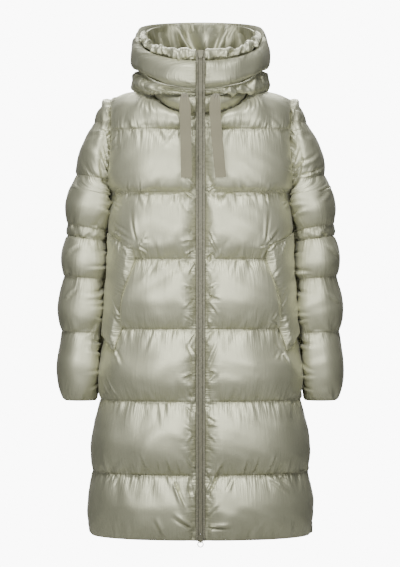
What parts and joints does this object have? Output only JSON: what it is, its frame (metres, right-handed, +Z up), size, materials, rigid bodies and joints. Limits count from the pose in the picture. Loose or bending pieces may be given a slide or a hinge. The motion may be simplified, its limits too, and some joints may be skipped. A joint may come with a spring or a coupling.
{
  "type": "long puffer coat",
  "caption": "Knee-length quilted down coat with a gathered padded hood, slanted pocket welts, two-way zip with ring pull and flat drawstring ends.",
  "frame": {"origin": "on the shoulder line at the middle of the neck, where the coat rests on its wearer", "axes": "+Z up, the front with the zip faces -Y, +X is the viewer's right"},
  "size_m": [0.601, 0.3504, 1.0975],
  "materials": {
    "shell_cloth": "satin nylon, pale sage grey",
    "tape_cloth": "matte woven tape",
    "ribbon_cloth": "matte grosgrain",
    "chain": "moulded teeth",
    "pull_metal": "pale warm metal"
  },
  "bodies": {
    "coat": {"front_left": "shell_cloth", "front_right": "shell_cloth", "back": "shell_cloth", "pocket_welt_left": "shell_cloth", "pocket_welt_right": "shell_cloth", "sleeve_upper_left": "shell_cloth", "sleeve_upper_right": "shell_cloth", "sleeve_lower_left": "shell_cloth", "sleeve_lower_right": "shell_cloth", "collar": "shell_cloth", "hood_shell": "shell_cloth", "hood_band": "shell_cloth", "hood_facing_left": "shell_cloth", "hood_facing_right": "shell_cloth", "hood_crown": "shell_cloth", "zip_tape_left": "tape_cloth", "zip_tape_right": "tape_cloth", "zip_chain": "chain", "zip_slider_top": "pull_metal", "zip_slider_bottom": "pull_metal", "drawstring_left": "ribbon_cloth", "drawstring_right": "ribbon_cloth"},
    "ring_pull": {"zip_pull_ring": "pull_metal"}
  },
  "joints": [
    {"name": "ring_pull_swing", "type": "hinge", "parent": "coat", "child": "ring_pull", "pos_m": [0, -0.1601, -0.9204], "axis": [-1, 0, 0], "range_deg": [0, 165]}
  ]
}
